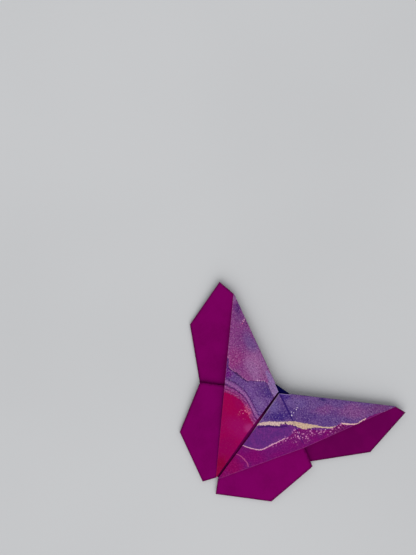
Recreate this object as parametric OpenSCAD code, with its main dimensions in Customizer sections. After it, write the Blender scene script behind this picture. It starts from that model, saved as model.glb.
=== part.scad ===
// Origami butterfly: one square sheet, plain on one side and printed on the other, folded into
// four pointed wings. It lies flat, head towards +Y, with the print flaps on top.
// Every layer is a thin plate of paper, and every fold is a rounded edge that joins two layers.

/* [Sheet] */
// Side of the square sheet
sheet_side = 150; // [120:1:200]
// Thickness of the paper
paper_t = 0.2; // [0.12:0.02:0.4]
// Air left between pressed layers
layer_gap = 0.08; // [0.06:0.02:0.2]

/* [Spring of the folds] */
// Rise of the head above the table
head_lift = 7.5; // [4:0.5:12]
// Rise of the forewing's outer fold, which springs up from the table
edge_lift = 1.4; // [0.6:0.1:2]
// Rise of the hindwing's outer corner
hind_lift = 1.7; // [0.5:0.1:2]
// Air between forewing and hindwing at the outer end of their seam
seam_gap = 1.9; // [0.1:0.1:3]
// Side of the pad at the point of the corner folded under, where it lies flat on the table
pad_side = 20; // [10:1:26]
// Rise of the left print flap above the hindwing, at the middle of its long edge
left_flap_rise = 2.3; // [0.1:0.1:3]
// Rise of the right print flap there, where a crease crosses it
right_flap_rise = 1.4; // [0.1:0.1:3]

/* [Body] */
// Width of the slit between the print flaps, half-way along
slit_mid_w = 2.9; // [1:0.1:4]
// Width of the slit at the head
slit_head_w = 1.6; // [1:0.1:2.4]
// Width of the slit at the tail
slit_tail_w = 1.7; // [1:0.1:3]
// Distance that the slit lies left of the middle
slit_shift = 0.4; // [0:0.1:0.4]
// Distance that hand folding pulled the notch back from its true corner
notch_drop = 2.1; // [1:0.1:4]
// Distance that the left flap's corner at the notch lies ahead of the right one's
notch_step = 0.8; // [0:0.1:1.2]
// Reach of the folded lip past the notch
lip_reach = 3.6; // [2:0.1:6]
// Half the width of the tongue under the slit, where it leaves the forewings
tongue_half_w = 5; // [3:0.5:10]

/* [Hidden] */

// Each wing is half of the square, a strip twice as long as wide, with the head in its middle
strip_half_w = sheet_side / 4;
strip_half_l = sheet_side / 2;
// The front fold and the seam between forewing and hindwing both run at this angle
fold_angle = 30;
// Height from one layer's underside to the next one's
pitch = paper_t + layer_gap;
// Levels of the layers, counted in pitches from the ground plane
base_level = 1.2;
hind_level_head = 3.6;
hind_level_seam = 4.2;
// Depth of the tongue's end below the hindwings
tongue_depth = 7;
// Distance that inner layers keep from the folds round them
inset = 1;
// Distance of the seam's fold from the head, where the layers are pressed loose
seam_start = 8;
// Profile of a fold: reach outwards and height, each as a share of the fold's own
fold_profile = [[0.7, 0.15], [1, 0.5], [0.7, 0.85]];

// Where each corner of a hand-folded wing lies, measured from its true corner: tip fold, tip,
// outer corner, forewing's seam corner, hindwing's seam corner, hind corner, tail corner, flap
left_slip = [[0, -2], [2.5, -1], [2, 1], [0.5, -0.5], [0.5, -0.5], [2, 1], [2, 1.2], [1, -0.5]];
right_slip = [[6, -0.7], [4, 0], [0.4, 1.4], [-1.4, 0.3], [0.7, -2.7], [1.8, -1.4], [0.2, -0.6], [4, -3]];

function unit(v) = v / norm(v);
function reflect(p, a, b) = let (d = unit(b - a), v = p - a) a + 2 * (v * d) * d - v;
function flat(p) = [p[0], p[1]];
seam_dir = [cos(fold_angle), -sin(fold_angle)];
function seam_reflect(p) = reflect(p, [0, 0], seam_dir);

// True corners of a wing in the order of the slips, x outwards and y towards the head
tip_fold = [strip_half_w / tan(fold_angle), strip_half_w];
tip = [strip_half_l, strip_half_w];
outer = [strip_half_l, 0];
seam_end = strip_half_l / (cos(fold_angle) + sin(fold_angle)) * seam_dir;
tail = seam_reflect(tip_fold);
true_corners = [
    tip_fold, tip, outer, seam_end, seam_end, seam_reflect(outer), seam_reflect(tip), (tip_fold + tail) / 2
];
function corners(slip) = [for (i = [0:len(slip) - 1]) true_corners[i] + slip[i]];
left_corners = corners(left_slip);
right_corners = corners(right_slip);

// The overall box is centred on the origin
all_x = concat([for (c = right_corners) c[0]], [for (c = left_corners) -c[0]]);
all_y = concat([for (c = right_corners) c[1]], [for (c = left_corners) c[1]]);
centre = [(max(all_x) + min(all_x)) / 2, (max(all_y) + min(all_y)) / 2, 0];

// A plane is its height at the origin and its slopes along x and y
function plane(a, b, c) =
    let (n = cross(b - a, c - a), gx = -n[0] / n[2], gy = -n[1] / n[2])
    [a[2] - gx * a[0] - gy * a[1], gx, gy];
function raised(pl, dz) = [pl[0] + dz, pl[1], pl[2]];
function height(pl, p) = pl[0] + pl[1] * p[0] + pl[2] * p[1];
function on(pl, p) = [p[0], p[1], height(pl, p)];

// Triangles of a plate of paper. Its corners run anticlockwise, seen from above, and all of them
// are seen from the first one
function up(p) = p + [0, 0, paper_t];
function sheet(c) = [for (i = [1:len(c) - 2])
    each [[c[0], c[i + 1], c[i]], [up(c[0]), up(c[i]), up(c[i + 1])]]];
// Cut edges of a plate, from each corner in the list to the next one
function cut(c) = [for (i = [0:len(c) - 2])
    each [[c[i], c[i + 1], up(c[i + 1])], [c[i], up(c[i + 1]), up(c[i])]]];

// A fold joins the lower plate's edge from a to b with the upper plate's edge above it. It bulges
// outwards along the way given for each end, and each end that stands free is closed
function fold_row(low, high, way) = let (h = high[2] + paper_t - low[2])
    concat([low], [for (f = fold_profile) low + [way[0] * h / 2 * f[0], way[1] * h / 2 * f[0], h * f[1]]],
        [up(high)]);
function fold_end(low, high, way) = let (
        row = concat(fold_row(low, high, way), [high, up(low)]),
        n = len(row),
        outmost = 2
    ) [for (i = [outmost + 1:outmost + n - 2]) [row[outmost], row[(i + 1) % n], row[i % n]]];
function turned(triangles) = [for (t = triangles) [t[0], t[2], t[1]]];
function fold(a, b, a_high, b_high, way_a, way_b, ends = [true, true]) = let (
        ra = fold_row(a, a_high, way_a),
        rb = fold_row(b, b_high, way_b)
    ) concat(
        [for (i = [0:len(ra) - 2]) each [[ra[i], rb[i], rb[i + 1]], [ra[i], rb[i + 1], ra[i + 1]]]],
        [[up(a), b_high, up(b)], [up(a), a_high, b_high]],
        ends[0] ? turned(fold_end(a, a_high, way_a)) : [],
        ends[1] ? fold_end(b, b_high, way_b) : []
    );
// Outward side of an edge that runs anticlockwise round its plate
function outward(a, b) = let (d = unit(flat(b) - flat(a))) [d[1], -d[0]];
function straight_fold(a, b, a_high, b_high) =
    fold(a, b, a_high, b_high, outward(a, b), outward(a, b));

// The forewing's plane rises from its corner fold to the head
ground = plane([outer[0], outer[1], edge_lift], [seam_end[0], seam_end[1], edge_lift], [0, 0, head_lift]);
table = [0, 0, 0];
base = raised(ground, base_level * pitch);

// The hindwing's plane comes down from the head over the seam to its outer corner. The tongue
// leaves the forewing's plane and runs close under the hindwings to the tail
function hind_plane(seam_corner, corner) = plane(
    [0, 0, head_lift + hind_level_head * pitch],
    [seam_corner[0], seam_corner[1], edge_lift + hind_level_seam * pitch + seam_gap],
    [corner[0], corner[1], hind_lift + pitch]);
tongue = raised(hind_plane(seam_end, seam_reflect(outer)), -tongue_depth * pitch);

// The right wing of a butterfly with corners c, as triangles; the left wing is one mirrored. shift
// is how far its side of the slit lies outwards, and step how far its notch corner lies ahead
function wing(c, flap_rise, shift, step) = let (
        fold_len = strip_half_w * sqrt(2),
        slit_head = [slit_head_w / 2 + shift, step - notch_drop],
        slit_mid = [slit_mid_w / 2 + shift, (tail[1] - notch_drop) / 2],
        slit_tail = [slit_tail_w / 2 + shift, tail[1]],

        // Forewing, with its half of the tongue under the slit and of the edge at the head
        head_y = lip_reach - notch_drop,
        front = unit(c[0] - slit_head),
        p_shoulder = slit_head + front * (head_y - slit_head[1]) / front[1],
        shoulder = on(base, p_shoulder),
        lip_end = on(base, p_shoulder - [inset, 0]),
        head = on(base, [0, head_y]),
        tongue_tail = on(tongue, tail + [0, inset]),
        tongue_side = on(tongue, tail + [slit_tail_w / 2 + inset, inset]),
        root = on(base, [tongue_half_w, -strip_half_w]),
        tip_at_fold = on(base, c[0]),
        fore_tip = on(base, c[1]),
        fore_outer = on(base, c[2]),
        p_fore_end = c[2] + fold_len * unit(c[3] - c[2]),
        fore_end = on(base, p_fore_end),

        // Forewing's corner, folded under: it slopes down from the fold to a pad flat on the table
        p_fore_corner = reflect(c[2] + strip_half_w * unit(c[2] - c[1]), c[2], c[3]),
        under = raised(base, -pitch),
        under_end = on(under, p_fore_end),
        under_outer = on(under, c[2]),
        pad_end = on(table, p_fore_corner + pad_side * unit(p_fore_end - p_fore_corner)),
        pad_outer = on(table, p_fore_corner + pad_side * unit(c[2] - p_fore_corner)),
        pad_corner = on(table, p_fore_corner),

        // Lip, folded back from the edge at the head
        lip_side = lip_end + [0, 0, pitch],
        lip_head = head + [0, 0, pitch],
        lip_point = on(raised(base, pitch), [0, -notch_drop - inset / 2]),

        // Hindwing, with the start and end of its folded seam
        hind = hind_plane(c[4], c[5]),
        hind_head = on(hind, slit_head),
        hind_mid = on(hind, slit_mid),
        hind_tail = on(hind, slit_tail),
        tail_corner = on(hind, c[6]),
        hind_corner = on(hind, c[5]),
        seam_root = [slit_head_w / 2, -notch_drop],
        seam = unit(c[4] - seam_root),
        p_fold_stop = c[4] + inset * unit(c[5] - c[4]),
        fold_stop = on(hind, p_fold_stop),
        seam_corner = on(hind, c[4]),
        p_seam_start = seam_root + seam_start * seam,
        seam_head = on(hind, p_seam_start),

        // Hindwing's corner, folded under
        under_hind = raised(hind, -pitch),
        p_hind_corner = reflect(c[5] + strip_half_w * unit(c[5] - c[6]), c[5], c[4]),
        p_at_seam = seam_root + seam * strip_half_w / cos(fold_angle) + inset * [seam[1], -seam[0]],
        hind_under = [for (p = [c[5], p_fold_stop, p_at_seam, p_hind_corner]) on(under_hind, p)],

        // Inner layer between forewing and hindwing, folded up along the seam. It lies on the
        // forewing at its root and rises to the hindwing at the seam's outer end
        inner_seam = on(raised(hind, -2 * pitch), c[4]),
        inner_head = on(raised(base, pitch), p_seam_start),
        inner_root = on(raised(base, pitch), [tongue_half_w, -strip_half_w + inset]),
        inner = plane(inner_head, inner_root, inner_seam),
        inner_end = on(inner, p_fore_end + [-inset, inset]),

        // Print flap, folded over along the front edge and along the slit
        flap = raised(hind, pitch),
        flap_head = on(flap, slit_head),
        flap_mid = on(flap, slit_mid),
        flap_tail = on(flap, slit_tail),
        flap_tip = on(raised(base, pitch), c[0]),
        flap_edge = on(raised(flap, flap_rise), c[7]),
        along = norm(p_shoulder - slit_head) / norm(c[0] - slit_head),
        flap_shoulder = flap_head + along * (flap_tip - flap_head),
        slit_way = [-1, 0]
    ) concat(
        sheet([root, fore_end, fore_outer, fore_tip, tip_at_fold, shoulder, lip_end, head,
            tongue_tail, tongue_side]),
        cut([fore_outer, fore_tip, tip_at_fold]),
        cut([shoulder, lip_end]),
        cut([tongue_tail, tongue_side, root, fore_end]),
        sheet([under_end, under_outer, pad_outer, pad_end]),
        sheet([pad_end, pad_outer, pad_corner]),
        cut([under_outer, pad_outer, pad_corner, pad_end, under_end]),
        straight_fold(under_end, under_outer, fore_end, fore_outer),
        sheet([lip_side, lip_head, lip_point]),
        cut([lip_point, lip_side]),
        fold(lip_end, head, lip_side, lip_head, [0, 1], [0, 1], [true, false]),
        sheet([hind_mid, hind_tail, tail_corner, hind_corner, fold_stop, seam_corner, seam_head,
            hind_head]),
        cut([hind_tail, tail_corner, hind_corner]),
        cut([fold_stop, seam_corner]),
        cut([seam_head, hind_head]),
        sheet(hind_under),
        cut([hind_under[1], hind_under[2], hind_under[3], hind_under[0]]),
        straight_fold(hind_under[0], hind_under[1], hind_corner, fold_stop),
        sheet([inner_head, inner_root, inner_end, inner_seam]),
        cut([inner_head, inner_root, inner_end, inner_seam]),
        straight_fold(inner_seam, inner_head, seam_corner, seam_head),
        sheet([flap_edge, flap_tip, flap_shoulder, flap_head, flap_mid, flap_tail]),
        cut([flap_tail, flap_edge, flap_tip]),
        cut([flap_shoulder, flap_head]),
        straight_fold(tip_at_fold, shoulder, flap_tip, flap_shoulder),
        fold(hind_head, hind_mid, flap_head, flap_mid, slit_way, slit_way, [true, false]),
        fold(hind_mid, hind_tail, flap_mid, flap_tail, slit_way, slit_way, [false, true])
    );
function mirrored(triangles) = [for (t = triangles) [for (i = [0, 2, 1]) [-t[i][0], t[i][1], t[i][2]]]];

module folded_sheet() {
    triangles = concat(
        wing(right_corners, right_flap_rise, -slit_shift, 0),
        mirrored(wing(left_corners, left_flap_rise, slit_shift, notch_step))
    );
    points = [for (t = triangles) each t];
    faces = [for (i = [0:len(triangles) - 1]) [3 * i, 3 * i + 2, 3 * i + 1]];
    color("#760058") translate(-centre) polyhedron(points, faces);
}

folded_sheet();
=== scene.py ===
import math

import bpy
import numpy as np
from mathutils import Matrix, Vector
from mathutils.geometry import delaunay_2d_cdt


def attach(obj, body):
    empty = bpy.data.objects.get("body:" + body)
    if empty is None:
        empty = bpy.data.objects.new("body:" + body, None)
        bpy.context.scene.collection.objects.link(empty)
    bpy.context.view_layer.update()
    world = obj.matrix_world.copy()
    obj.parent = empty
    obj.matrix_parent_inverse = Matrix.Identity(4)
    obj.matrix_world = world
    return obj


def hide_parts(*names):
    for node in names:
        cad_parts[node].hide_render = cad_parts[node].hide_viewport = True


# One folded sheet of paper, plain on one side and printed on the other, on a pale table. Lengths
# of the paper are in millimetres here and become metres when the mesh is made.
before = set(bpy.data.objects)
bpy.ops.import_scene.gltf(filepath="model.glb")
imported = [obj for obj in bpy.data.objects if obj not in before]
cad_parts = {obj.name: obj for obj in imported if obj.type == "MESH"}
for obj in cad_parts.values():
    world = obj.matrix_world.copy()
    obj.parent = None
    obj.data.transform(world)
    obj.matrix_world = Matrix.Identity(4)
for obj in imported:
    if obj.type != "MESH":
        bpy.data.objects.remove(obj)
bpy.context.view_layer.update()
MM = 0.001

# Sizes, as in the CAD source
SIDE = 150.0
PAPER_T = 0.2
PITCH = 0.28
HEAD_LIFT, EDGE_LIFT, HIND_LIFT, SEAM_GAP = 7.5, 1.4, 1.7, 1.9
PAD_SIDE = 20.0
LEFT_RISE, RIGHT_RISE = 2.3, 1.4
SLIT_MID_W, SLIT_HEAD_W, SLIT_TAIL_W = 2.9, 1.6, 1.7
SLIT_SHIFT = 0.4
NOTCH_DROP, NOTCH_STEP = 2.1, 0.8
LIP_REACH = 3.6
TONGUE_HALF_W = 5.0
STRIP_W, STRIP_L = SIDE / 4, SIDE / 2
BASE_LEVEL = 1.2
HIND_HEAD, HIND_SEAM, TONGUE_DEPTH = 3.6, 4.2, 7.0
INSET = 1.0
SEAM_START = 8.0
LEFT_SLIP = [(0, -2), (2.5, -1), (2, 1), (0.5, -0.5), (0.5, -0.5), (2, 1), (2, 1.2), (1, -0.5)]
RIGHT_SLIP = [
    (6, -0.7), (4, 0), (0.4, 1.4), (-1.4, 0.3), (0.7, -2.7), (1.8, -1.4), (0.2, -0.6), (4, -3)]

# Length of a mesh edge, and points along the profile of a fold
STEP = 1.6
FOLD_POINTS = 7
# Waves of the whole sheet: height, length per radian and phase across and along it, the place
# round which they fade out, and how far from the head they are full
WAVE = 0.1
WAVE_ACROSS, WAVE_ALONG = (9.0, 1.3), (13.0, 0.4)
WAVE_CENTRE, WAVE_REACH, WAVE_START = (0.0, -20.0), 90.0, 30.0
# Swell of a print flap between its folds, over its whole width and close to the folds, and how
# far from the head it is full
SWELL, SWELL_REACH = 0.3, 6.0
ROLL, ROLL_REACH = 0.12, 0.8
SWELL_START = 30.0
# Points of a plate keep at least this share of a step from its edges and creases
CLEAR = 0.45
# Rows of points along a plate's edges, the room behind them, and the share of its reach that such
# a point keeps from the other edges
EDGE_ROWS = (0.35, 0.9)
ROW_ROOM = 0.5
OWN_EDGE = 0.97
# Least half-height of a fold
LEAST_FOLD = 0.02
# Points that agree to these digits, or lie this close in plan, are one
POINT_DIGITS = 4
MERGE_REACH = 1e-5
# Rim of what shows no line along its edge
NO_LINE = 2.0
# The print is measured from here. The left wing's print is another region of the sheet
PRINT_ORIGIN = np.array([0.75, -23.1])
LEFT_PRINT = np.array([-60.0, 0.0])
# The lip's print is the sheet's corner, one dark colour of navy print and painted shade
LIP_PRINT = np.array([0.0, 60.0])

PLAIN, PRINT, EDGE = 0, 1, 2


def v2(x, y):
    return np.array([x, y], float)


def unit(v):
    return v / np.linalg.norm(v)


def reflect(p, a, b):
    d = unit(b - a)
    v = p - a
    return a + 2 * np.multiply.outer(v @ d, d) - v


FOLD_ANGLE = math.radians(30)
SEAM_DIR = v2(math.cos(FOLD_ANGLE), -math.sin(FOLD_ANGLE))
ORIGIN = v2(0, 0)


def true_corners():
    """Corners of an ideal wing, in the order of the slips."""
    tip_fold = v2(STRIP_W / math.tan(FOLD_ANGLE), STRIP_W)
    tip, outer = v2(STRIP_L, STRIP_W), v2(STRIP_L, 0)
    seam_end = STRIP_L / (math.cos(FOLD_ANGLE) + math.sin(FOLD_ANGLE)) * SEAM_DIR
    back = [reflect(p, ORIGIN, SEAM_DIR) for p in (outer, tip, tip_fold)]
    return [tip_fold, tip, outer, seam_end, seam_end, back[0], back[1], (tip_fold + back[2]) / 2]


TAIL = reflect(true_corners()[0], ORIGIN, SEAM_DIR)


def corners(slip):
    return [c + v2(*s) for c, s in zip(true_corners(), slip)]


LEFT_CORNERS, RIGHT_CORNERS = corners(LEFT_SLIP), corners(RIGHT_SLIP)
ALL_X = [c[0] for c in RIGHT_CORNERS] + [-c[0] for c in LEFT_CORNERS]
ALL_Y = [c[1] for c in RIGHT_CORNERS + LEFT_CORNERS]
CENTRE = v2((max(ALL_X) + min(ALL_X)) / 2, (max(ALL_Y) + min(ALL_Y)) / 2)
SEAM_ROOT = v2(SLIT_HEAD_W / 2, -NOTCH_DROP)


def plane(a, b, c):
    """A plane is its height at the origin and its slopes along x and y."""
    n = np.cross(b - a, c - a)
    gx, gy = -n[0] / n[2], -n[1] / n[2]
    return np.array([a[2] - gx * a[0] - gy * a[1], gx, gy])


def raised(pl, dz):
    return pl + np.array([dz, 0, 0])


def on(pl, p):
    return np.array([p[0], p[1], pl[0] + pl[1] * p[0] + pl[2] * p[1]])


def lift(p, z):
    return np.array([p[0], p[1], z])


def up(p, dz):
    return p + np.array([0, 0, dz])


def hind_plane(seam_corner, corner):
    return plane(
        lift(ORIGIN, HEAD_LIFT + HIND_HEAD * PITCH),
        lift(seam_corner, EDGE_LIFT + HIND_SEAM * PITCH + SEAM_GAP),
        lift(corner, HIND_LIFT + PITCH),
    )


IDEAL = true_corners()
GROUND = plane(lift(IDEAL[2], EDGE_LIFT), lift(IDEAL[3], EDGE_LIFT), lift(ORIGIN, HEAD_LIFT))
BASE = raised(GROUND, BASE_LEVEL * PITCH)
TONGUE = raised(hind_plane(IDEAL[3], IDEAL[5]), -TONGUE_DEPTH * PITCH)


def wave(x, y):
    """Gentle rise of every layer alike, zero at the head and along the corners on the table."""
    from_centre = np.hypot(x - WAVE_CENTRE[0], y - WAVE_CENTRE[1])
    reach = np.clip(1 - from_centre / WAVE_REACH, 0, 1)
    far = np.clip(np.hypot(x, y) / WAVE_START, 0, 1)
    across = np.sin(x / WAVE_ACROSS[0] + WAVE_ACROSS[1])
    shape = 0.5 + 0.5 * across * np.cos(y / WAVE_ALONG[0] + WAVE_ALONG[1])
    return WAVE * shape * reach * far


def distance_to_line(p, a, b):
    d = b - a
    t = np.clip(((p - a) @ d) / (d @ d), 0, 1)
    return np.linalg.norm(p - a - np.multiply.outer(t, d), axis=1)


def pairs(outline):
    """Each corner of an outline with the next one."""
    return list(zip(outline, outline[1:] + outline[:1]))


def steps(a, b, least=1):
    """Number of mesh edges along a line."""
    return max(least, math.ceil(np.linalg.norm(b[:2] - a[:2]) / STEP))


class Paper:
    """The sheet's mesh: points that meet are one, and each face has its own side's material."""

    def __init__(self):
        self.index, self.points, self.rims = {}, [], []
        self.faces, self.prints, self.materials = [], [], []

    def point(self, p, rim):
        """rim is the point's distance from the nearest edge that shows a line."""
        key = tuple(np.round(p, POINT_DIGITS))
        if key not in self.index:
            self.index[key] = len(self.points)
            self.points.append(p)
            self.rims.append(rim)
        return self.index[key]

    def face(self, face_corners, material):
        """Each corner of the face is a point's number and its place in the print."""
        ids = [i for i, _ in face_corners]
        if len(set(ids)) == len(ids):
            self.faces.append(ids)
            self.prints.extend(xy for _, xy in face_corners)
            self.materials.append(material)


def on_lip(p):
    """Marks the lip, whose print is the sheet's corner: navy print with painted shade."""
    return p


class Wing:
    """One wing. side is 1 for the right and -1 for the left, which is built mirrored."""

    def __init__(self, paper, side):
        self.paper, self.side = paper, side
        # Set while folds are added that show no line
        self.bare_fold = False

    def place(self, p):
        """A point of the right-hand wing in the part's frame."""
        x, y = self.side * p[0], p[1]
        z = p[2] + float(wave(x, y)) * min(1, max(0, p[2]))
        return np.array([x - CENTRE[0], y - CENTRE[1], z])

    def add(self, p, way=None, rim=NO_LINE):
        """Adds a point and gives its number and its place in the print. way unfolds the layer."""
        xy = np.array(p[:2]) if way is None else way(np.array(p[:2]))
        shift = LEFT_PRINT if self.side < 0 else ORIGIN
        if way is on_lip:
            shift = LIP_PRINT
        own = v2(self.side * xy[0], xy[1]) - PRINT_ORIGIN + shift
        return self.paper.point(self.place(p), rim), own

    def face(self, ids, material):
        self.paper.face(ids if self.side > 0 else ids[::-1], material)

    def plate(self, outline, cut_edges, sides, ways=(None, None), swell=None, creases=()):
        """A plate with its corners anticlockwise from above. sides and ways are for the top and
        the underside; cut_edges are the corners that start a cut edge."""
        edges = divided(outline)
        places, low, triangles = triangulate(outline, edges, swell, creases)
        rims = self.rims(outline, places, cut_edges, sides[0])
        tops = [self.add(up(p, PAPER_T), ways[0], d) for p, d in zip(low, rims)]
        unders = [self.add(p, ways[1], d) for p, d in zip(low, rims)]
        for t in triangles:
            self.face([tops[i] for i in t], sides[0])
            self.face([unders[i] for i in t[::-1]], sides[1])
        for i in cut_edges:
            self.cut(edges[i] + [edges[(i + 1) % len(edges)][0]], ways, swell)

    def rims(self, outline, places, cut_edges, top):
        """A plain plate shows a line along all its edges and a printed one along its cut edges."""
        ends = pairs(outline)
        lined = [ends[i] for i in cut_edges] if top == PRINT else ends
        return np.min([distance_to_line(places, a[:2], b[:2]) for a, b in lined], axis=0)

    def cut(self, edge, ways, swell):
        """The paper's thickness along a cut edge."""
        rows = []
        for p in edge:
            q = up(p, swell(p[:2]) if swell else 0)
            rows.append((self.add(q, ways[1], 0), self.add(up(q, PAPER_T), ways[0], 0)))
        for (a, ta), (b, tb) in zip(rows, rows[1:]):
            self.face([a, b, tb, ta], EDGE)

    def fold(self, a, b, a_high, b_high, way=None, sides=(PLAIN, PRINT), ends=(True, True),
             unfold=None):
        """Joins the lower plate's edge a to b with the upper one's edge. sides are for the
        outside and the inside of the fold."""
        n = steps(a, b)
        if way is None:
            d = unit(b[:2] - a[:2])
            way = v2(d[1], -d[0])
        turns = np.linspace(-math.pi / 2, math.pi / 2, FOLD_POINTS)
        outs, ins = [], []
        for k in range(n + 1):
            low, high = a + (b - a) * k / n, a_high + (b_high - a_high) * k / n
            top = high[2] + PAPER_T
            outs.append(self.arc(low, way, low[2], top, turns, unfold))
            ins.append(self.arc(low, way, low[2] + PAPER_T, high[2], turns, unfold))
        for k in range(n):
            for j in range(FOLD_POINTS - 1):
                o, p = outs[k], outs[k + 1]
                self.face([o[j], p[j], p[j + 1], o[j + 1]], sides[0])
                o, p = ins[k], ins[k + 1]
                self.face([o[j], o[j + 1], p[j + 1], p[j]], sides[1])
        for k, closed in zip((0, n), ends):
            o, i = outs[k], ins[k]
            for j in range(FOLD_POINTS - 1 if closed else 0):
                ids = [o[j], o[j + 1], i[j + 1], i[j]]
                self.face(ids if k == 0 else ids[::-1], EDGE)

    def arc(self, p, way, low_z, high_z, turns, unfold):
        """Points of one profile of a fold, from its lower layer to its upper one."""
        middle, half = (low_z + high_z) / 2, (high_z - low_z) / 2
        rim = 0 if unfold is None and not self.bare_fold else NO_LINE
        ids = []
        for t in turns:
            out = way * max(half, LEAST_FOLD) * math.cos(t)
            place = np.array([p[0] + out[0], p[1] + out[1], middle + half * math.sin(t)])
            ids.append(self.add(place, unfold, rim))
        return ids


def divided(outline):
    """Points of each edge of an outline, at most a step apart, without the edge's end."""
    edges = []
    for a, b in pairs(outline):
        n = steps(a, b)
        edges.append([a + (b - a) * k / n for k in range(n)])
    return edges


def triangulate(outline, edges, swell, creases):
    """Gives a plate's places in plan, its points and its triangles."""
    rim = [p for edge in edges for p in edge]
    count = len(rim)
    inside = grid_inside(np.array([p[:2] for p in rim]), EDGE_ROWS[-1] + ROW_ROOM if swell else 0)
    if swell:
        inside = np.concatenate([inside, edge_rows(edges, [p[:2] for p in outline])])
    links = [(i, (i + 1) % count) for i in range(count)]
    for a, b in creases:
        inside, links = add_crease(inside, links, count, rim, a, b)
    flat = [Vector(p[:2]) for p in rim] + [Vector(p) for p in inside]
    made = delaunay_2d_cdt(flat, links, [], 1, MERGE_REACH)
    places, origins = np.array([tuple(p) for p in made[0]]), made[3]
    height = fan_height(outline)
    points = []
    for p, source in zip(places, origins):
        source = [s for s in source if s < count]
        point = rim[source[0]] if source else np.array([p[0], p[1], height(p[0], p[1])])
        points.append(up(point, swell(point[:2])) if swell else point)
    return places, points, [anticlockwise(places, t) for t in made[2]]


def anticlockwise(places, triangle):
    a, b, c = (places[i] for i in triangle)
    turn = (b[0] - a[0]) * (c[1] - a[1]) - (b[1] - a[1]) * (c[0] - a[0])
    return triangle if turn > 0 else triangle[::-1]


def grid_inside(rim, clear=0.0):
    """Points of a triangular grid inside the rim, clear of its edges."""
    lo, hi = rim.min(0), rim.max(0)
    row = STEP * math.sqrt(3) / 2
    xs = np.arange(lo[0], hi[0], STEP)
    found = []
    for k, y in enumerate(np.arange(lo[1], hi[1], row)):
        found.append(np.stack([xs + (STEP / 2 if k % 2 else 0), np.full_like(xs, y)], 1))
    pts = np.concatenate(found)
    inside = np.zeros(len(pts), bool)
    near = np.full(len(pts), 1e9)
    for a, b in zip(rim, np.roll(rim, -1, 0)):
        crosses = (a[1] > pts[:, 1]) != (b[1] > pts[:, 1])
        rise = b[1] - a[1] if abs(b[1] - a[1]) > 1e-12 else 1e-12
        at = a[0] + (pts[:, 1] - a[1]) * (b[0] - a[0]) / rise
        inside ^= crosses & (pts[:, 0] < at)
        near = np.minimum(near, distance_to_line(pts, a, b))
    return pts[inside & (near > max(STEP * CLEAR, clear))]


def edge_rows(rim, outline):
    """Rows of points inside the rim, close along each of its edges."""
    rows = []
    for edge, (a, b) in zip(rim, pairs(outline)):
        d = unit(b - a)
        for reach in EDGE_ROWS:
            rows.extend((p[:2] + reach * v2(-d[1], d[0]), reach) for p in edge)
    points, reach = np.array([p for p, _ in rows]), np.array([q for _, q in rows])
    near = np.min([distance_to_line(points, a, b) for a, b in pairs(outline)], axis=0)
    return points[near > OWN_EDGE * reach]


def fan_height(fan):
    """Height over a fan of triangles that all start at the first corner."""
    triangles = [(fan[0], fan[i], fan[i + 1]) for i in range(1, len(fan) - 1)]
    triangles = [t for t in triangles if abs(np.cross(t[1] - t[0], t[2] - t[0])[2]) > 1e-6]

    def height(x, y):
        best, z = -1e9, 0
        for a, b, c in triangles:
            det = (b[0] - a[0]) * (c[1] - a[1]) - (c[0] - a[0]) * (b[1] - a[1])
            u = ((x - a[0]) * (c[1] - a[1]) - (c[0] - a[0]) * (y - a[1])) / det
            v = ((b[0] - a[0]) * (y - a[1]) - (x - a[0]) * (b[1] - a[1])) / det
            least = min(u, v, 1 - u - v)
            if least > best:
                best, z = least, a[2] + u * (b[2] - a[2]) + v * (c[2] - a[2])
        return z

    return height


def add_crease(inside, links, count, rim, a, b):
    """Points along a crease between two rim corners, which the triangles then keep to."""
    n = steps(a, b, 2)
    line = np.array([a[:2] + (b[:2] - a[:2]) * k / n for k in range(1, n)])
    inside = inside[distance_to_line(inside, a[:2], b[:2]) > STEP * CLEAR]
    start = count + len(inside)
    ends = [min(range(count), key=lambda i: np.linalg.norm(rim[i][:2] - p[:2])) for p in (a, b)]
    chain = [ends[0]] + [start + k for k in range(n - 1)] + [ends[1]]
    return np.concatenate([inside, line]), links + list(zip(chain, chain[1:]))


class Plan:
    """Places in plan that the layers of one wing share. c holds the wing's corners."""

    def __init__(self, side, c):
        shift = v2(-side * SLIT_SHIFT, 0)
        self.slit_head = SEAM_ROOT + shift + v2(0, NOTCH_STEP if side < 0 else 0)
        self.slit_mid = v2(SLIT_MID_W / 2, (TAIL[1] - NOTCH_DROP) / 2) + shift
        self.slit_tail = v2(SLIT_TAIL_W / 2, TAIL[1]) + shift
        self.head = v2(0, LIP_REACH - NOTCH_DROP)
        front = unit(c[0] - self.slit_head)
        self.shoulder = self.slit_head + front * (self.head[1] - self.slit_head[1]) / front[1]
        self.lip_end = self.shoulder - v2(INSET, 0)
        self.fore_end = c[2] + STRIP_W * math.sqrt(2) * unit(c[3] - c[2])
        self.fold_stop = c[4] + INSET * unit(c[5] - c[4])
        self.seam = unit(c[4] - SEAM_ROOT)
        self.seam_start = SEAM_ROOT + SEAM_START * self.seam

    def slit(self, pl):
        """The slit's side on a plane, from head to tail."""
        return [on(pl, p) for p in (self.slit_head, self.slit_mid, self.slit_tail)]


def over_slit(p):
    """Unfolds a layer over the fold along the slit."""
    return p * v2(-1, 1)


def build_wing(paper, side, c, rise):
    wing, plan, hind = Wing(paper, side), Plan(side, c), hind_plane(c[4], c[5])
    add_forewing(wing, plan, c)
    add_fore_corner(wing, plan, c)
    add_lip(wing, plan)
    add_hindwing(wing, plan, c, hind)
    add_hind_corner(wing, plan, c, hind)
    add_inner_layer(wing, plan, c, hind)
    add_flap(wing, plan, c, hind, rise)


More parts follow.
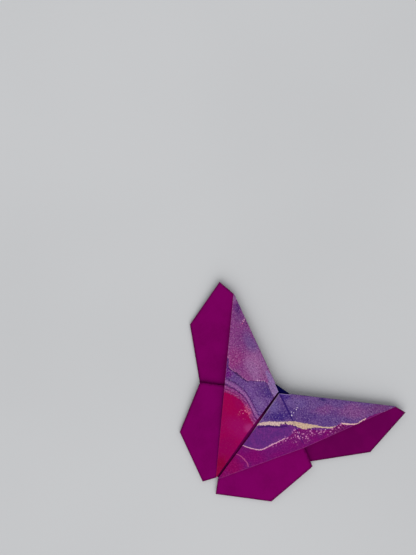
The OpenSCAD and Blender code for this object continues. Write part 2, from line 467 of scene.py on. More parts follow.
def add_forewing(wing, plan, c):
    """The forewing, with its half of the tongue under the slit and of the edge at the head."""

    def over_front(p):
        return reflect(p, plan.slit_head, c[0])

    outline = [v2(TONGUE_HALF_W, -STRIP_W), plan.fore_end, c[2], c[1], c[0], plan.shoulder,
               plan.lip_end, plan.head]
    tongue = [TAIL + v2(0, INSET), TAIL + v2(SLIT_TAIL_W / 2 + INSET, INSET)]
    wing.plate([on(BASE, p) for p in outline] + [on(TONGUE, p) for p in tongue],
               [0, 2, 3, 5, 8, 9], (PLAIN, PRINT), (None, over_front))


def add_fore_corner(wing, plan, c):
    """The forewing's corner, folded under: it slopes down to a pad flat on the table."""
    corner = reflect(c[2] + STRIP_W * unit(c[2] - c[1]), c[2], c[3])
    under = raised(BASE, -PITCH)
    under_end, under_outer = on(under, plan.fore_end), on(under, c[2])
    pad_end = lift(corner + PAD_SIDE * unit(plan.fore_end - corner), 0)
    pad_outer = lift(corner + PAD_SIDE * unit(c[2] - corner), 0)
    wing.plate([under_end, under_outer, pad_outer, pad_end], [1, 3], (PRINT, PLAIN))
    wing.plate([pad_end, pad_outer, lift(corner, 0)], [1, 2], (PRINT, PLAIN))
    wing.fold(under_end, under_outer, on(BASE, plan.fore_end), on(BASE, c[2]))


def add_lip(wing, plan):
    """The lip, folded back from the edge at the head."""
    end, head = on(BASE, plan.lip_end), on(BASE, plan.head)
    high_end, high_head = up(end, PITCH), up(head, PITCH)
    point = on(raised(BASE, PITCH), v2(0, -NOTCH_DROP - INSET / 2))
    wing.plate([high_end, high_head, point], [2], (PRINT, PLAIN), (on_lip, None))
    wing.fold(end, head, high_end, high_head, v2(0, 1), (PRINT, PLAIN), (True, False), on_lip)


def add_hindwing(wing, plan, c, hind):
    outline = [plan.slit_mid, plan.slit_tail, c[6], c[5], plan.fold_stop, c[4], plan.seam_start,
               plan.slit_head]
    wing.plate([on(hind, p) for p in outline], [1, 2, 4, 6], (PLAIN, PRINT), (None, over_slit))


def add_hind_corner(wing, plan, c, hind):
    """The hindwing's corner, folded under."""
    corner = reflect(c[5] + STRIP_W * unit(c[5] - c[6]), c[5], c[4])
    along_seam = plan.seam * STRIP_W / math.cos(FOLD_ANGLE)
    at_seam = SEAM_ROOT + along_seam + INSET * v2(plan.seam[1], -plan.seam[0])
    under = raised(hind, -PITCH)
    outline = [on(under, p) for p in (c[5], plan.fold_stop, at_seam, corner)]
    wing.plate(outline, [1, 2, 3], (PRINT, PLAIN), (over_slit, None))
    wing.fold(outline[0], outline[1], on(hind, c[5]), on(hind, plan.fold_stop))


def add_inner_layer(wing, plan, c, hind):
    """The layer between forewing and hindwing, folded up along their seam."""
    over_base = raised(BASE, PITCH)
    seam_end, head = on(raised(hind, -2 * PITCH), c[4]), on(over_base, plan.seam_start)
    root = on(over_base, v2(TONGUE_HALF_W, -STRIP_W + INSET))
    end = on(plane(head, root, seam_end), plan.fore_end + v2(-INSET, INSET))
    wing.plate([head, root, end, seam_end], [0, 1, 2], (PRINT, PLAIN), (over_slit, None))
    wing.fold(seam_end, head, on(hind, c[4]), on(hind, plan.seam_start))


def add_flap(wing, plan, c, hind, rise):
    """The print flap, folded over along the front edge and along the slit. A crease crosses the
    right one."""
    flap = raised(hind, PITCH)
    head, mid, tail = plan.slit(flap)
    tip, edge = on(raised(BASE, PITCH), c[0]), on(raised(flap, rise), c[7])
    to_shoulder, to_tip = plan.shoulder - plan.slit_head, c[0] - plan.slit_head
    shoulder = head + np.linalg.norm(to_shoulder) / np.linalg.norm(to_tip) * (tip - head)
    wing.bare_fold = True
    wing.plate([edge, tip, shoulder, head, mid, tail], [0, 2, 5], (PRINT, PLAIN),
               swell=flap_swell(plan, c), creases=[(edge, head)] if wing.side > 0 else [])
    wing.fold(on(BASE, c[0]), on(BASE, plan.shoulder), tip, shoulder, sides=(PRINT, PLAIN))
    low_head, low_mid, low_tail = plan.slit(hind)
    slit_way = v2(-1, 0)
    wing.fold(low_head, low_mid, head, mid, slit_way, (PRINT, PLAIN), (True, False))
    wing.fold(low_mid, low_tail, mid, tail, slit_way, (PRINT, PLAIN), (False, True))


def flap_swell(plan, c):
    """Rise of a flap's paper between its folds."""
    folds = [(plan.slit_head, c[0]), (plan.slit_head, plan.slit_mid), (plan.slit_mid, plan.slit_tail)]

    def swell(p):
        near = min(distance_to_line(np.array([p]), a, b)[0] for a, b in folds)
        from_head = min(1, np.linalg.norm(p - plan.slit_head) / SWELL_START)
        broad = SWELL * (1 - math.exp(-near / SWELL_REACH))
        return from_head * (broad + ROLL * (1 - math.exp(-near / ROLL_REACH)))

    return swell


def linear(colour):
    """A colour written as screen values from 0 to 255, as the shader wants it."""
    parts = [v / 255 for v in colour]
    return [v / 12.92 if v <= 0.04045 else ((v + 0.055) / 1.055) ** 2.4 for v in parts] + [1.0]


class Net:
    """Short names for the shader nodes that the materials use."""

    def __init__(self, name):
        self.material = bpy.data.materials.new(name)
        self.material.use_nodes = True
        self.tree = self.material.node_tree
        self.shader = self.tree.nodes["Principled BSDF"]

    def node(self, kind, inputs=(), **settings):
        made = self.tree.nodes.new("ShaderNode" + kind)
        for name, value in settings.items():
            setattr(made, name, value)
        for key, value in dict(inputs).items():
            self.give(made.inputs[key], value)
        return made

    def give(self, socket, value):
        if isinstance(value, bpy.types.NodeSocket):
            self.tree.links.new(value, socket)
        else:
            socket.default_value = value

    def attribute(self, name, output):
        return self.node("Attribute", attribute_name=name).outputs[output]

    def math(self, operation, a, b=0.0, c=0.0):
        return self.node("Math", {0: a, 1: b, 2: c}, operation=operation).outputs[0]

    def all_of(self, *masks):
        """The product of masks."""
        product = masks[0]
        for mask in masks[1:]:
            product = self.math("MULTIPLY", product, mask)
        return product

    def any_of(self, masks):
        """The strongest of masks."""
        most = masks[0]
        for mask in masks[1:]:
            most = self.math("MAXIMUM", most, mask)
        return most

    def vector(self, operation, a, b=(0, 0, 0), scale=None):
        made = self.node("VectorMath", {0: a, 1: b}, operation=operation)
        if scale is not None:
            self.give(made.inputs["Scale"], scale)
        short = operation in ("DOT_PRODUCT", "LENGTH", "DISTANCE")
        return made.outputs["Value" if short else "Vector"]

    def noise(self, place, scale, detail=2.0, rough=0.5, colour=False):
        inputs = {"Vector": place, "Scale": scale, "Detail": detail, "Roughness": rough}
        made = self.node("TexNoise", inputs)
        return made.outputs["Color" if colour else 0]

    def span(self, value, low, high, to_low=0.0, to_high=1.0):
        """Smooth step of value between low and high."""
        made = self.node("MapRange", {0: value, 1: low, 2: high, 3: to_low, 4: to_high},
                         interpolation_type="SMOOTHSTEP")
        return made.outputs[0]

    def mix(self, factor, a, b):
        """Colour a, with colour b over it where factor is 1. Tuples are screen values."""
        a, b = (linear(v) if isinstance(v, tuple) else v for v in (a, b))
        return self.node("Mix", {0: factor, 6: a, 7: b}, data_type="RGBA").outputs[2]

    def clouds(self, place, scale, a, b):
        """Two colours in soft clouds."""
        return self.mix(self.span(self.noise(place, scale, 3.0, 0.55), 0.36, 0.64), a, b)

    def warp(self, place, scale, amount, detail=2.0):
        """The place moved about by up to half of amount."""
        noise = self.noise(place, scale, detail, colour=True)
        shift = self.vector("SUBTRACT", noise, (0.5, 0.5, 0.5))
        return self.vector("ADD", place, self.vector("SCALE", shift, scale=amount))

    def paint(self, colour, mask, tint, strength):
        """A tint laid over the colour at some strength, where mask is 1."""
        return self.mix(self.math("MULTIPLY", mask, strength), colour, tint)

    def blob(self, place, centre, radii, turn=0.0, soft=0.6):
        """1 inside a soft ellipse and 0 outside."""
        made = self.node("Mapping", {
            "Vector": place, "Location": (*centre, 0), "Rotation": (0, 0, math.radians(turn)),
            "Scale": (*radii, 1)}, vector_type="TEXTURE")
        away = self.vector("LENGTH", made.outputs[0])
        return self.span(away, 1 + soft, 1 - soft)

    def fields(self, place, colour, table):
        """Soft ellipses of colour, each over the ones before it."""
        for centre, radii, turn, tint in table:
            colour = self.mix(self.blob(place, centre, radii, turn), colour, tint)
        return colour

    def dots(self, place, table):
        """Small round dots, each a place and a radius."""
        rim, masks = 0.12, []
        for x, y, r in table:
            masks.append(self.span(self.vector("DISTANCE", place, (x, y, 0)), r + rim, r - rim))
        return self.any_of(masks)

    def specks(self, place, scale, size):
        """Small irregular dots, some larger than others, with gaps between them."""
        cells = self.node("TexVoronoi", {"Vector": self.warp(place, 1.2, 0.6), "Scale": scale})
        chance = self.node("SeparateXYZ", {0: cells.outputs["Color"]}).outputs[0]
        reach = self.math("MULTIPLY", self.span(chance, 0.2, 1.0), size)
        return self.span(self.math("SUBTRACT", cells.outputs["Distance"], reach), 0.06, -0.06)

    def curve(self, place, points):
        """How far a place lies to the left of a smooth line, and how far along it is, 0 to 1."""
        a, b = v2(*points[0]), v2(*points[-1])
        length = float(np.linalg.norm(b - a))
        e = (b - a) / length
        n = v2(-e[1], e[0])
        from_a = self.vector("SUBTRACT", place, (*a, 0))
        along = self.vector("DOT_PRODUCT", from_a, (*(e / length), 0))
        across = self.vector("DOT_PRODUCT", from_a, (*n, 0))
        us = [float((v2(*p) - a) @ e / length) for p in points]
        vs = [float((v2(*p) - a) @ n) for p in points]
        reach = max(1.0, max(abs(v) for v in vs)) * 1.2
        line = self.float_curve(along, us, [0.5 + v / (2 * reach) for v in vs])
        offset = self.math("MULTIPLY_ADD", line, 2 * reach, -reach)
        return self.math("SUBTRACT", across, offset), along

    def float_curve(self, value, us, vs):
        made = self.node("FloatCurve", {"Value": value})
        curve = made.mapping.curves[0]
        while len(curve.points) < len(us):
            curve.points.new(0.5, 0.5)
        for point, u, v in zip(curve.points, us, vs):
            point.location = (min(max(u, 0), 1), min(max(v, 0), 1))
        made.mapping.extend = "HORIZONTAL"
        made.mapping.update()
        return made.outputs[0]

    def stroke(self, place, points, widths, soft=0.15, ragged=0.0):
        """A line of varying half-width: widths are spread evenly from its start to its end.
        ragged is how far its edge wanders, most of all on its right side."""
        across, along = self.curve(place, points)
        top = max(widths)
        us = [i / (len(widths) - 1) for i in range(len(widths))]
        half = self.math("MULTIPLY", self.float_curve(along, us, [w / top for w in widths]), top)
        off = self.math("SUBTRACT", self.math("ABSOLUTE", across), half)
        if ragged:
            wander = self.math("SUBTRACT", self.noise(place, 0.9, 4.0, 0.65), 0.5)
            amount = self.span(across, 0.3, -0.3, ragged, 3 * ragged)
            off = self.math("MULTIPLY_ADD", wander, amount, off)
        ends = self.all_of(self.span(along, -0.01, 0.01), self.span(along, 1.01, 0.99))
        return self.all_of(self.span(off, soft, -soft), ends)


RELIEF_DEPTH = 0.04


def finish_paper(net, colour, grain_place, grain_scale, roughness, bump):
    """Colour, roughness and the fine relief of paper."""
    fine = net.noise(grain_place, grain_scale, 3.0, 0.6)
    net.give(net.shader.inputs["Base Color"], colour)
    net.give(net.shader.inputs["Roughness"], net.span(fine, 0.2, 0.8, *roughness))
    relief = net.node("Bump", {"Strength": bump, "Distance": RELIEF_DEPTH * MM, "Height": fine})
    net.give(net.shader.inputs["Normal"], relief.outputs[0])
    net.shader.inputs["Specular IOR Level"].default_value = 0.01


def place_in_mm(net):
    coords = net.node("TexCoord").outputs["Object"]
    return net.vector("SCALE", coords, scale=1 / MM)


def rim_line(net, place, width, strength):
    """A line along the edges of a plate, stronger in some places than in others."""
    line = net.span(net.attribute("rim", "Fac"), width, 0.0)
    uneven = net.span(net.noise(place, 0.5), 0.3, 0.7, 0.4 * strength, strength)
    return net.math("MULTIPLY", line, uneven)


def plain_material():
    """The plain purple side: even ink with faint cloudiness and fibres, with painted shade along its
    edges and folds, over the right forewing, and in the slit and the notch."""
    net = Net("plain_side")
    place = place_in_mm(net)
    colour = net.clouds(place, 0.06, (113, 0, 84), (121, 0, 91))
    fibre = net.noise(net.vector("MULTIPLY", place, (1.0, 0.35, 1.0)), 1.6, 4.0, 0.65)
    colour = net.mix(net.span(fibre, 0.35, 0.75, 0.0, 0.5), colour, (126, 1, 96))
    seam = RIGHT_CORNERS[4] - SEAM_ROOT
    beyond = unit(v2(-seam[1], seam[0]))
    start = float(beyond @ (SEAM_ROOT - CENTRE))
    past_seam = net.math("SUBTRACT", net.vector("DOT_PRODUCT", place, (*beyond, 0)), start)
    # Painted shade: the plain side beyond the right wing's seam is darker
    forewing_shade = net.clouds(place, 0.08, (99, 0, 75), (105, 0, 79))
    colour = net.mix(net.span(past_seam, 0.1, 0.7), colour, forewing_shade)
    # Painted shade: a dark line along the plain side's edges and folds
    colour = net.mix(rim_line(net, place, 1.8, 0.75), colour, (66, 0, 48))
    # Painted shade and shadow in the slit and the notch
    colour = net.mix(painted_slit_shade(net, place), colour, (26, 0, 34))
    finish_paper(net, colour, place, 3.0, (0.5, 0.62), 0.35)
    return net.material


def painted_slit_shade(net, place):
    """Painted shade: the plain side is darkened in the notch, in the slit near the head and along the
    slit's right.
    """
    from_head = net.vector("ADD", place, (*CENTRE, 0))
    across = net.vector("DOT_PRODUCT", from_head, (1, 0, 0))
    along = net.vector("DOT_PRODUCT", from_head, (0, 1, 0))
    from_left, from_right = net.span(across, -2.2, -2.0), net.span(across, 2.2, 2.0)
    inside = net.all_of(from_left, from_right, net.span(along, -76.0, -75.0))
    near_head = net.span(along, -28.0, -16.0, 0.0, 0.9)
    right_side = net.span(across, -0.6, 0.2, 0.0, 0.15)
    in_slit = net.all_of(inside, net.any_of([near_head, right_side]))
    off_middle = net.math("ABSOLUTE", across)
    in_notch = net.all_of(net.span(off_middle, 7.5, 7.2), net.span(along, -4.0, -3.5))
    return net.any_of([in_slit, in_notch])


def edge_material():
    """The cut edge, where the paper's dyed core shows."""
    net = Net("cut_edge")
    place = place_in_mm(net)
    fibre = net.noise(place, 4.0, 3.0)
    colour = net.mix(net.span(fibre, 0.3, 0.7), (150, 52, 120), (205, 140, 180))
    finish_paper(net, colour, place, 6.0, (0.7, 0.85), 0.3)
    return net.material


# The print's fields of colour, as centre, radii, turn and colour
LEFT_FIELDS = [
    ((-112.4, 49.4), (7, 5), -30, (116, 56, 122)),
    ((-102.3, 38.0), (6, 8), 0, (124, 52, 122)),
    ((-95.4, 37.6), (9, 4), -30, (113, 72, 134)),
    ((-99.4, 22.7), (6, 7), 0, (146, 54, 123)),
    ((-85.4, 27.4), (9, 6), -30, (154, 92, 148)),
    ((-77.0, 26.7), (4, 4), 0, (140, 80, 135)),
    ((-83.5, 22.4), (8, 3.6), -28, (150, 94, 150)),
    ((-79.0, 31.0), (10, 3.0), -30, (140, 84, 142)),
    ((-118.8, 53.1), (5, 2.6), -40, (84, 32, 108)),
    ((-124.0, 56.3), (4, 3), 0, (136, 90, 140)),
]
BLUE_FIELDS = [
    ((-69.5, 16.1), (6, 5), 0, (89, 54, 125)),
    ((-67.2, 17.6), (4.5, 2.6), -30, (72, 42, 118)),
    ((-68.0, 8.0), (4, 3), 0, (114, 80, 142)),
    ((-98.4, 12.6), (4, 5.5), 0, (108, 12, 118)),
    ((-101.6, 18.0), (1.8, 5.0), 20, (78, 24, 108)),
]
RED_FIELDS = [
    ((-69.0, -15.0), (9, 7), 0, (148, 8, 90)),
    ((-63.8, -10.5), (3, 3), 0, (158, 38, 108)),
    ((-69.0, -31.0), (10, 9), 0, (139, 0, 80)),
    ((-63.0, -45.0), (9, 8), 0, (132, 1, 56)),
]
RIGHT_FIELDS = [
    ((10.3, 13.6), (9, 5), 30, (81, 53, 125)),
    ((1.7, 10.7), (4, 5), 0, (101, 77, 143)),
    ((12.6, 22.5), (8, 3), 30, (104, 77, 141)),
    ((8.0, 7.4), (8.5, 2.8), 34, (60, 34, 118)),
    ((25.3, 19.6), (6, 4), 30, (82, 50, 123)),
    ((32.4, 30.4), (9, 3.4), 33, (117, 64, 130)),
    ((41.0, 33.0), (6, 3), 30, (97, 57, 126)),
    ((49.9, 41.1), (12, 5), 30, (124, 68, 131)),
    ((64.0, 52.4), (9, 5), 30, (110, 56, 118)),
    ((26.4, 34.6), (2.5, 1.2), 30, (56, 32, 104)),
    ((3.9, 21.3), (3.2, 2.0), 30, (66, 38, 124)),
]
MAGENTA_FIELDS = [
    ((18.0, -12.0), (12, 4), 55, (114, 18, 106)),
    ((10.8, -25.4), (7, 5), 40, (124, 5, 98)),
    ((2.0, -40.0), (8, 9), 0, (136, 4, 86)),
    ((27.8, 5.0), (7, 4), 45, (112, 22, 103)),
    ((48.0, 25.1), (7, 4), 45, (104, 15, 88)),
]

# Soft borders in the print, as where a mask is 0 and where it is 1: across it to the left and the
# right flap, and along it off the lip, which is one dark colour: navy print with painted shade
TO_LEFT, TO_RIGHT, OFF_LIP = (-32.0, -34.0), (-22.0, -20.0), (68.0, 66.0)
LIP_INK_AND_SHADE = (4, 2, 54)
# The flaps' edges at the notch, where the ink is worn
NOTCH_EDGES = [((3.6, 23.0), (4.0, 2.6), 30), ((-64.2, 23.0), (4.0, 2.6), -30)]
# Specks in the crimson field and by the front edge, and a flush at the field's edge
CRIMSON_FLECKS = [
    ((-72.6, -4.6), (2.6, 3.6), 20), ((-109.2, 46.6), (1.0, 2.4), 10), ((-70.6, -1.8), (1.0, 2.6), 30)]
FLUSH = ((-70.8, -1.2), (3.6, 1.5), -40)
# Dots of the left flap, as colour, strength, and places with radii: the row on the dark vein, and
# pale and dark ones far out
LEFT_DOTS = [
    ((230, 190, 214), 0.85, [
        (-79.2, 18.6, 0.25), (-77.9, 19.5, 0.36), (-76.6, 20.3, 0.3), (-75.2, 21.0, 0.36),
        (-73.8, 21.9, 0.3)]),
    ((206, 150, 190), 0.8, [
        (-109.4, 48.2, 0.5), (-108.9, 46.9, 0.4), (-110.0, 49.3, 0.3), (-109.8, 47.0, 0.35)]),
    ((44, 14, 66), 0.7, [
        (-107.9, 48.2, 0.4), (-106.5, 47.0, 0.4), (-105.4, 45.4, 0.35), (-106.6, 48.4, 0.3)]),
]

# Lines of the left flap: the pale strip, the dark vein above the blue field, the uppermost dark
# band and the edge of the crimson field
STRIP = [(-76.5, 28.4), (-72.5, 26.1), (-68.5, 23.8), (-64.1, 21.3), (-58.4, 18.0)]
VEIN = [
    (-102.6, 20.4), (-101.0, 18.0), (-99.2, 15.6), (-97.2, 14.9), (-95.2, 14.9), (-90.6, 15.0),
    (-86.8, 14.8), (-83.9, 15.0), (-81.2, 16.7), (-78.7, 18.2), (-75.2, 20.5), (-72.5, 21.8),
    (-69.8, 20.9), (-66.0, 18.6), (-62.6, 16.7), (-60.0, 14.8)]
VEIN_WIDTHS = [0.1, 0.15, 0.25, 0.4, 0.6, 0.6, 0.45, 0.28, 0.25, 0.25, 0.2, 0.2, 0.3, 0.35, 0.3]
BAND = [
    (-98.4, 8.3), (-94.7, 8.6), (-90.1, 9.3), (-83.7, 9.2), (-80.4, 8.7), (-76.7, 7.4), (-72.3, 5.4),
    (-67.9, 3.1), (-64.4, 1.1)]
CRIMSON = [
    (-93.4, -0.7), (-88.3, 0.6), (-84.5, 1.4), (-81.0, 1.5), (-76.9, 0.8), (-74.1, -0.4),
    (-70.8, -2.3), (-67.6, -4.4), (-64.7, -5.9), (-62.4, -7.2)]
# Colours from the edge of the crimson field, at 0, to the uppermost dark band, at 1
BAND_COLOURS = [
    (-0.1, (148, 3, 78)), (0.0, (144, 4, 80)), (0.05, (134, 14, 88)), (0.12, (160, 52, 120)),
    (0.22, (138, 36, 106)), (0.29, (112, 24, 98)), (0.36, (146, 56, 126)), (0.46, (140, 56, 126)),
    (0.53, (90, 20, 92)), (0.58, (84, 22, 96)), (0.63, (128, 64, 134)), (0.74, (152, 92, 152)),
    (0.84, (134, 80, 146)), (0.93, (112, 56, 128)), (0.98, (70, 22, 96)), (1.02, (74, 28, 102)),
    (1.07, (106, 64, 132)), (1.15, (106, 68, 134))]
BAND_LOW, BAND_HIGH = BAND_COLOURS[0][0], BAND_COLOURS[-1][0]


def print_material():
    """The printed side: marbled fields of violet, blue-violet and crimson, with cream veins."""
    net = Net("print_side")
    place = net.attribute("print_xy", "Vector")
    soft = net.warp(net.warp(place, 0.08, 4.0), 0.5, 1.8, 3.0)
    rough = net.warp(place, 0.8, 1.2, 3.0)
    across = net.vector("DOT_PRODUCT", place, (1, 0, 0))
    left, right = net.span(across, *TO_LEFT), net.span(across, *TO_RIGHT)
    colour = net.mix(left, net.clouds(soft, 0.15, (92, 60, 128), (104, 70, 134)),
                     net.clouds(soft, 0.12, (130, 54, 124), (142, 66, 132)))
    colour = net.fields(soft, colour, LEFT_FIELDS + RIGHT_FIELDS)
    colour, red = left_print(net, place, soft, rough, left, colour)
    off_lip = net.span(net.vector("DOT_PRODUCT", place, (0, 1, 0)), *OFF_LIP)
    colour = grain(net, place, colour, net.all_of(net.span(red, 1.0, 0.0, 0.06, 1.0), off_lip))
    colour = right_print(net, place, soft, rough, right, colour)
    line = net.all_of(rim_line(net, place, 0.5, 0.35), net.span(red, 1.0, 0.0, 0.2, 1.0))
    colour = net.mix(line, colour, (186, 96, 158))
    at_notch = net.any_of([net.blob(place, *spot, soft=0.2) for spot in NOTCH_EDGES])
    pale_edge = net.all_of(net.span(net.attribute("rim", "Fac"), 0.6, 0.2), at_notch)
    colour = net.paint(colour, pale_edge, (150, 134, 186), 0.7)
    # The lip's one dark colour: navy print with painted shade
    colour = net.mix(off_lip, LIP_INK_AND_SHADE, colour)
    finish_paper(net, colour, place, 2.4, (0.55, 0.7), 0.5)
    return net.material


def grain(net, place, colour, strength, light_tint=(226, 196, 222)):
    """The mottle of the ink, lighter and darker, at two sizes."""
    for scale, light, dark in ((1.05, 0.24, 0.75), (0.5, 0.05, 0.2)):
        mottle = net.noise(place, scale, 3.0, 0.65)
        up = net.span(mottle, 0.5, 0.72, 0.0, light)
        down = net.span(mottle, 0.5, 0.28, 0.0, dark)
        colour = net.mix(net.all_of(up, strength), colour, light_tint)
        colour = net.mix(net.all_of(down, strength), colour, (36, 8, 62))
    return colour


def left_print(net, place, soft, rough, left, colour):
    """Left flap: a dark vein, a fan of thin bands and the crimson field below them. Gives the
    colour and where it is crimson."""
    colour = pale_strip(net, place, soft, colour)
    colour = vein(net, place, soft, rough, left, colour)
    low, _ = net.curve(rough, CRIMSON)
    high, _ = net.curve(rough, BAND)
    below_band = net.all_of(net.span(high, 0.5, 0.1), left)
    colour = net.mix(below_band, colour, bands(net, place, soft, low, high))
    crimson = net.fields(soft, net.clouds(soft, 0.06, (152, 0, 74), (147, 1, 80)), RED_FIELDS)
    inside = net.all_of(net.span(low, 0.15, -0.15), left)
    colour = net.mix(inside, colour, crimson)
    near = net.any_of([net.blob(place, *spot) for spot in CRIMSON_FLECKS])
    flecks = net.all_of(net.specks(place, 0.8, 0.46), near, left)
    colour = net.paint(colour, flecks, (222, 110, 150), 0.85)
    for tint, strength, table in LEFT_DOTS:
        colour = net.paint(colour, net.dots(rough, table), tint, strength)
    return colour, inside


def pale_strip(net, place, soft, colour):
    """A worn lavender strip along the left flap's front edge, by the notch."""
    strip = net.stroke(soft, STRIP, [0.6, 1.8, 2.8, 3.2, 2.9], 0.7)
    worn = net.span(net.noise(place, 0.9, 3.0), 0.35, 0.6, 0.6, 1.0)
    return net.mix(net.all_of(strip, worn), colour, (140, 112, 168))


def vein(net, place, soft, rough, left, colour):
    """The dark vein with the blue field below it and a pale line along its outer part."""
    side, along = net.curve(rough, VEIN)
    blue = net.fields(soft, net.clouds(soft, 0.2, (112, 74, 142), (102, 62, 132)), BLUE_FIELDS)
    colour = net.mix(net.all_of(net.span(side, 0.15, -0.15), left), colour, blue)
    above = net.all_of(net.span(side, -0.1, 0.3), net.span(side, 1.1, 0.4))
    pale = net.all_of(above, net.span(along, 0.55, 0.4), left)
    colour = net.paint(colour, pale, (186, 122, 166), 0.55)
    broken = net.span(net.noise(place, 0.45, 2.0), 0.35, 0.5, 0.35, 1.0)
    return net.mix(net.all_of(net.stroke(rough, VEIN, VEIN_WIDTHS), broken), colour, (62, 16, 86))


def bands(net, place, soft, low, high):
    """Bands between the crimson field and the dark band, from the distances to both."""
    level = net.math("DIVIDE", low, net.math("SUBTRACT", low, high))
    at = net.node("MapRange", {0: level, 1: BAND_LOW, 2: BAND_HIGH}).outputs[0]
    ramp = net.node("ValToRGB", {0: at})
    elements = ramp.color_ramp.elements
    while len(elements) < len(BAND_COLOURS):
        elements.new(0.5)
    for element, (step, tint) in zip(elements, BAND_COLOURS):
        element.position = (step - BAND_LOW) / (BAND_HIGH - BAND_LOW)
        element.color = linear(tint)
    patches = net.span(net.noise(place, 0.7, 3.0), 0.35, 0.6)
    return net.mix(net.all_of(net.blob(soft, *FLUSH), patches), ramp.outputs[0], (196, 72, 118))


# Lines of the right flap: the edge between violet and magenta, whose first part has a thin pale
# line, the cream veins, the dark line under the first one, a pale arc, the worn fold and the crease
DIVIDE = [
    (-0.3, -22.7), (4.7, -21.5), (8.0, -20.2), (10.5, -19.0), (12.9, -16.6), (14.7, -13.1),
    (16.8, -9.4), (18.9, -5.4), (20.9, -1.7), (22.2, 0.8), (22.6, 3.4), (22.9, 5.5), (23.6, 7.4),
    (25.7, 9.7), (32.1, 13.8), (41.3, 20.1), (44.5, 24.7), (46.2, 28.5), (51.7, 32.0),
    (55.4, 35.2), (56.6, 38.2), (58.3, 41.5), (61.4, 47.3)]
PALE_LINE_END = 9
CREAM = [
    (-0.2, -5.6), (3.5, -1.7), (6.5, 0.6), (10.5, 3.1), (14.3, 6.7), (19.6, 9.9), (24.3, 11.6),
    (28.4, 13.7), (32.3, 16.5), (36.5, 18.8), (40.6, 21.2), (42.4, 22.7), (44.0, 25.5)]
CREAM_WIDTHS = [0.3, 1.05, 1.3, 1.45, 0.75, 1.1, 1.6, 1.9, 1.5, 0.85, 0.5, 0.45, 0.2]
BEYOND_CREAM = [(52.0, 33.0), (62.0, 43.0)]
CREAM_TWO = [(46.5, 29.1), (51.7, 32.0), (55.4, 35.2), (56.6, 38.2), (58.3, 41.5)]
UNDER_CREAM = [(1.2, -6.9), (6.0, -2.2), (12.0, 1.6), (17.0, 6.0)]
ARC = [(-0.3, -30.2), (6.1, -30.0), (11.7, -32.4)]
WORN_FOLD = [(-0.35, 20.6), (0.25, -12.0)]
CREASE = [(-0.3, 21.1), (17.1, 11.6), (34.0, 1.9)]
# Where the specks below the divide lie, as centre, radii, turn and softness
SPECK_FIELDS = [
    ((27.6, 6.2), (7.5, 5.5), 45, 0.5), ((19.5, -5.0), (7, 1.8), 60), ((38.0, 16.8), (9, 2.6), 38),
    ((47.0, 27.5), (4, 1.6), 45)]
FINE_SPECKS = ((25.0, 5.0), (15, 8), 45, 0.5)
# Gaps in the cream vein and bright dots above it
CREAM_GAPS = [(14.7, 6.7, 0.65), (20.4, 7.9, 0.4), (31.0, 13.2, 0.4)]
BRIGHT_DOTS = [
    (15.2, 20.2, 0.3), (15.5, 18.7, 0.44), (15.3, 15.9, 0.36), (15.2, 13.7, 0.56), (13.6, 15.2, 0.25)]


def right_print(net, place, soft, rough, right, colour):
    """Right flap: violet above a cream vein, magenta with specks below it."""
    above, _ = net.curve(rough, CREAM[:-1] + BEYOND_CREAM)
    violet = net.clouds(soft, 0.2, (108, 44, 123), (94, 42, 120))
    colour = net.mix(net.all_of(net.span(above, 0.2, -0.2), right), colour, violet)
    side, _ = net.curve(rough, DIVIDE)
    magenta = net.fields(soft, net.clouds(soft, 0.18, (121, 8, 102), (112, 18, 102)), MAGENTA_FIELDS)
    colour = net.mix(net.all_of(net.span(side, 0.2, -0.2), right), colour, magenta)
    below_cream = net.all_of(right, net.span(above, 0.2, -0.2, 0.0, 0.6))
    colour = grain(net, place, colour, below_cream, (206, 84, 172))
    colour = net.paint(colour, net.stroke(rough, UNDER_CREAM, [0.5, 0.8, 0.6]), (50, 20, 92), 0.7)
    colour = right_specks(net, place, side, colour)
    worn = net.span(net.noise(place, 0.8, 2.0), 0.3, 0.5, 0.45, 0.95)
    pale = net.stroke(rough, DIVIDE[:PALE_LINE_END], [0.3, 0.32, 0.4, 0.35, 0.3, 0.25], 0.12, 0.35)
    colour = net.mix(net.all_of(pale, worn), colour, (222, 160, 188))
    colour, cream = cream_vein(net, place, rough, above, colour)
    return right_lines(net, place, rough, cream, colour)


def right_specks(net, place, side, colour):
    """Pale specks and finer ones, most of them on the magenta side."""
    flecks = net.any_of([net.specks(place, 0.62, 0.44), net.specks(place, 0.95, 0.42)])
    near = net.any_of([net.blob(place, *spot) for spot in SPECK_FIELDS])
    shown = net.all_of(flecks, near, net.span(side, 2.2, 0.4))
    colour = net.paint(colour, shown, (222, 142, 192), 0.85)
    below = net.span(side, 0.8, -0.4)
    fine = net.all_of(net.specks(place, 1.2, 0.4), net.blob(place, *FINE_SPECKS), below)
    return net.paint(colour, fine, (186, 70, 152), 0.3)


def cream_vein(net, place, rough, above, colour):
    """The cream vein with its small holes and gaps. Gives the colour and where the vein is."""
    cream = net.stroke(net.warp(place, 0.7, 0.9, 4.0), CREAM, CREAM_WIDTHS, 0.12, 1.1)
    far_right = net.span(net.vector("DOT_PRODUCT", place, (1, 0, 0)), 12.0, 20.0)
    tone = net.mix(far_right, net.clouds(place, 0.9, (218, 190, 178), (186, 154, 152)),
                   net.clouds(place, 0.9, (212, 184, 156), (182, 150, 132)))
    colour = net.mix(cream, colour, tone)
    on_vein = net.stroke(place, CREAM, [1.9] * 3)
    holes = net.all_of(net.specks(place, 0.8, 0.34), on_vein, net.span(above, -0.1, -0.9))
    colour = net.paint(colour, holes, (88, 30, 84), 0.7)
    return net.paint(colour, net.dots(rough, CREAM_GAPS), (62, 24, 72), 0.9), cream


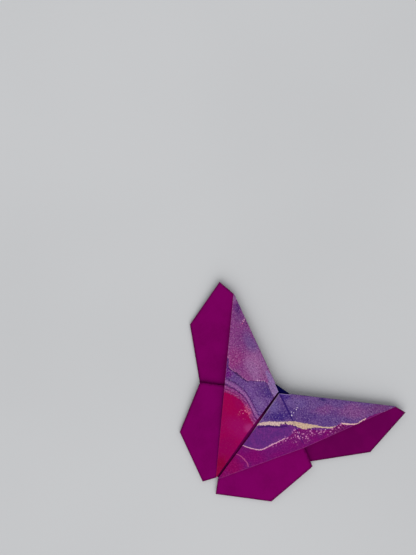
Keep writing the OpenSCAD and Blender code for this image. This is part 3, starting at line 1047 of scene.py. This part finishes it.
def right_lines(net, place, rough, cream, colour):
    """The second vein, the arc, the bright dots, the worn fold and the crease."""
    second = net.stroke(rough, CREAM_TWO, [0.35, 0.45, 0.4, 0.35, 0.2], 0.12, 0.5)
    colour = net.mix(second, colour, (228, 186, 178))
    colour = net.paint(colour, net.stroke(rough, ARC, [0.3, 0.35, 0.45]), (196, 84, 140), 0.6)
    colour = net.paint(colour, net.dots(rough, BRIGHT_DOTS), (226, 206, 226), 0.9)
    worn = net.stroke(place, WORN_FOLD, [0.2, 0.3, 0.05], 0.2)
    colour = net.paint(colour, worn, (176, 150, 160), 0.3)
    # The crease's dark line: cracked ink with painted shade
    dark = net.stroke(place, CREASE, [0.6, 0.6, 0.3, 0.1], 0.25)
    return net.mix(net.all_of(dark, net.span(cream, 1.0, 0.0, 0.3, 0.85)), colour, (42, 14, 100))


def floor_material():
    net = Net("table")
    place = place_in_mm(net)
    cloud = net.noise(place, 0.004, 2.0)
    colour = net.mix(net.span(cloud, 0.3, 0.7), (199, 200, 201), (203, 204, 205))
    net.give(net.shader.inputs["Base Color"], colour)
    net.shader.inputs["Roughness"].default_value = 0.9
    net.shader.inputs["Specular IOR Level"].default_value = 0.1
    return net.material


def add_object(name, data):
    made = bpy.data.objects.new(name, data)
    bpy.context.scene.collection.objects.link(made)
    return made


def make_paper():
    paper = Paper()
    build_wing(paper, 1, RIGHT_CORNERS, RIGHT_RISE)
    build_wing(paper, -1, LEFT_CORNERS, LEFT_RISE)
    mesh = bpy.data.meshes.new("folded_paper")
    mesh.from_pydata([tuple(p * MM) for p in paper.points], [], paper.faces)
    for material in (plain_material(), print_material(), edge_material()):
        mesh.materials.append(material)
    mesh.polygons.foreach_set("material_index", paper.materials)
    xy = mesh.attributes.new("print_xy", "FLOAT_VECTOR", "CORNER")
    flat = np.array([[p[0], p[1], 0] for p in paper.prints], np.float32)
    xy.data.foreach_set("vector", flat.ravel())
    rim = mesh.attributes.new("rim", "FLOAT", "POINT")
    rim.data.foreach_set("value", np.array(paper.rims, np.float32))
    mesh.update()
    return add_object("folded_paper", mesh)


# Half the table's width, and its depth below the paper
FLOOR_HALF, FLOOR_DROP = 1500.0, 0.02


def make_floor():
    mesh = bpy.data.meshes.new("table_top")
    half = FLOOR_HALF * MM
    mesh.from_pydata([(-half, -half, 0), (half, -half, 0), (half, half, 0), (-half, half, 0)], [],
                     [(0, 1, 2, 3)])
    mesh.materials.append(floor_material())
    floor = add_object("table_top", mesh)
    floor.location.z = -FLOOR_DROP * MM


# The camera looks straight down; the butterfly's axis leans clockwise in the picture
CAMERA_TURN = math.radians(35.44)
VIEW_CENTRE = v2(-85.65, 34.3) - CENTRE
VIEW_HEIGHT = 383.3
CAMERA_DISTANCE = 1300.0


def make_camera():
    data = bpy.data.cameras.new("camera")
    data.lens = data.sensor_width * CAMERA_DISTANCE / VIEW_HEIGHT
    camera = add_object("camera", data)
    camera.location = (VIEW_CENTRE[0] * MM, VIEW_CENTRE[1] * MM, CAMERA_DISTANCE * MM)
    camera.rotation_euler = (0, 0, CAMERA_TURN)
    bpy.context.scene.camera = camera


KEY_FROM = (0.46, -0.54, 0.70)
KEY_POWER, KEY_SPREAD = 2.1, 70
ROOM_POWER, ROOM_COLOUR = 0.5, (0.97, 0.975, 1.0, 1.0)


def make_lights():
    """A soft key from the picture's bottom, and an even room."""
    data = bpy.data.lights.new("key", "SUN")
    data.energy, data.angle = KEY_POWER, math.radians(KEY_SPREAD)
    lamp = add_object("key", data)
    toward = Vector(KEY_FROM)
    lamp.location = toward
    lamp.rotation_euler = (-toward).to_track_quat("-Z", "Y").to_euler()
    world = bpy.data.worlds.new("room")
    bpy.context.scene.world = world
    world.use_nodes = True
    back = world.node_tree.nodes["Background"]
    back.inputs["Color"].default_value = ROOM_COLOUR
    back.inputs["Strength"].default_value = ROOM_POWER


piece = make_paper()
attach(piece, "root")
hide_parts("folded_sheet")
make_floor()
make_camera()
make_lights()
bpy.context.scene.view_settings.view_transform = "Standard"
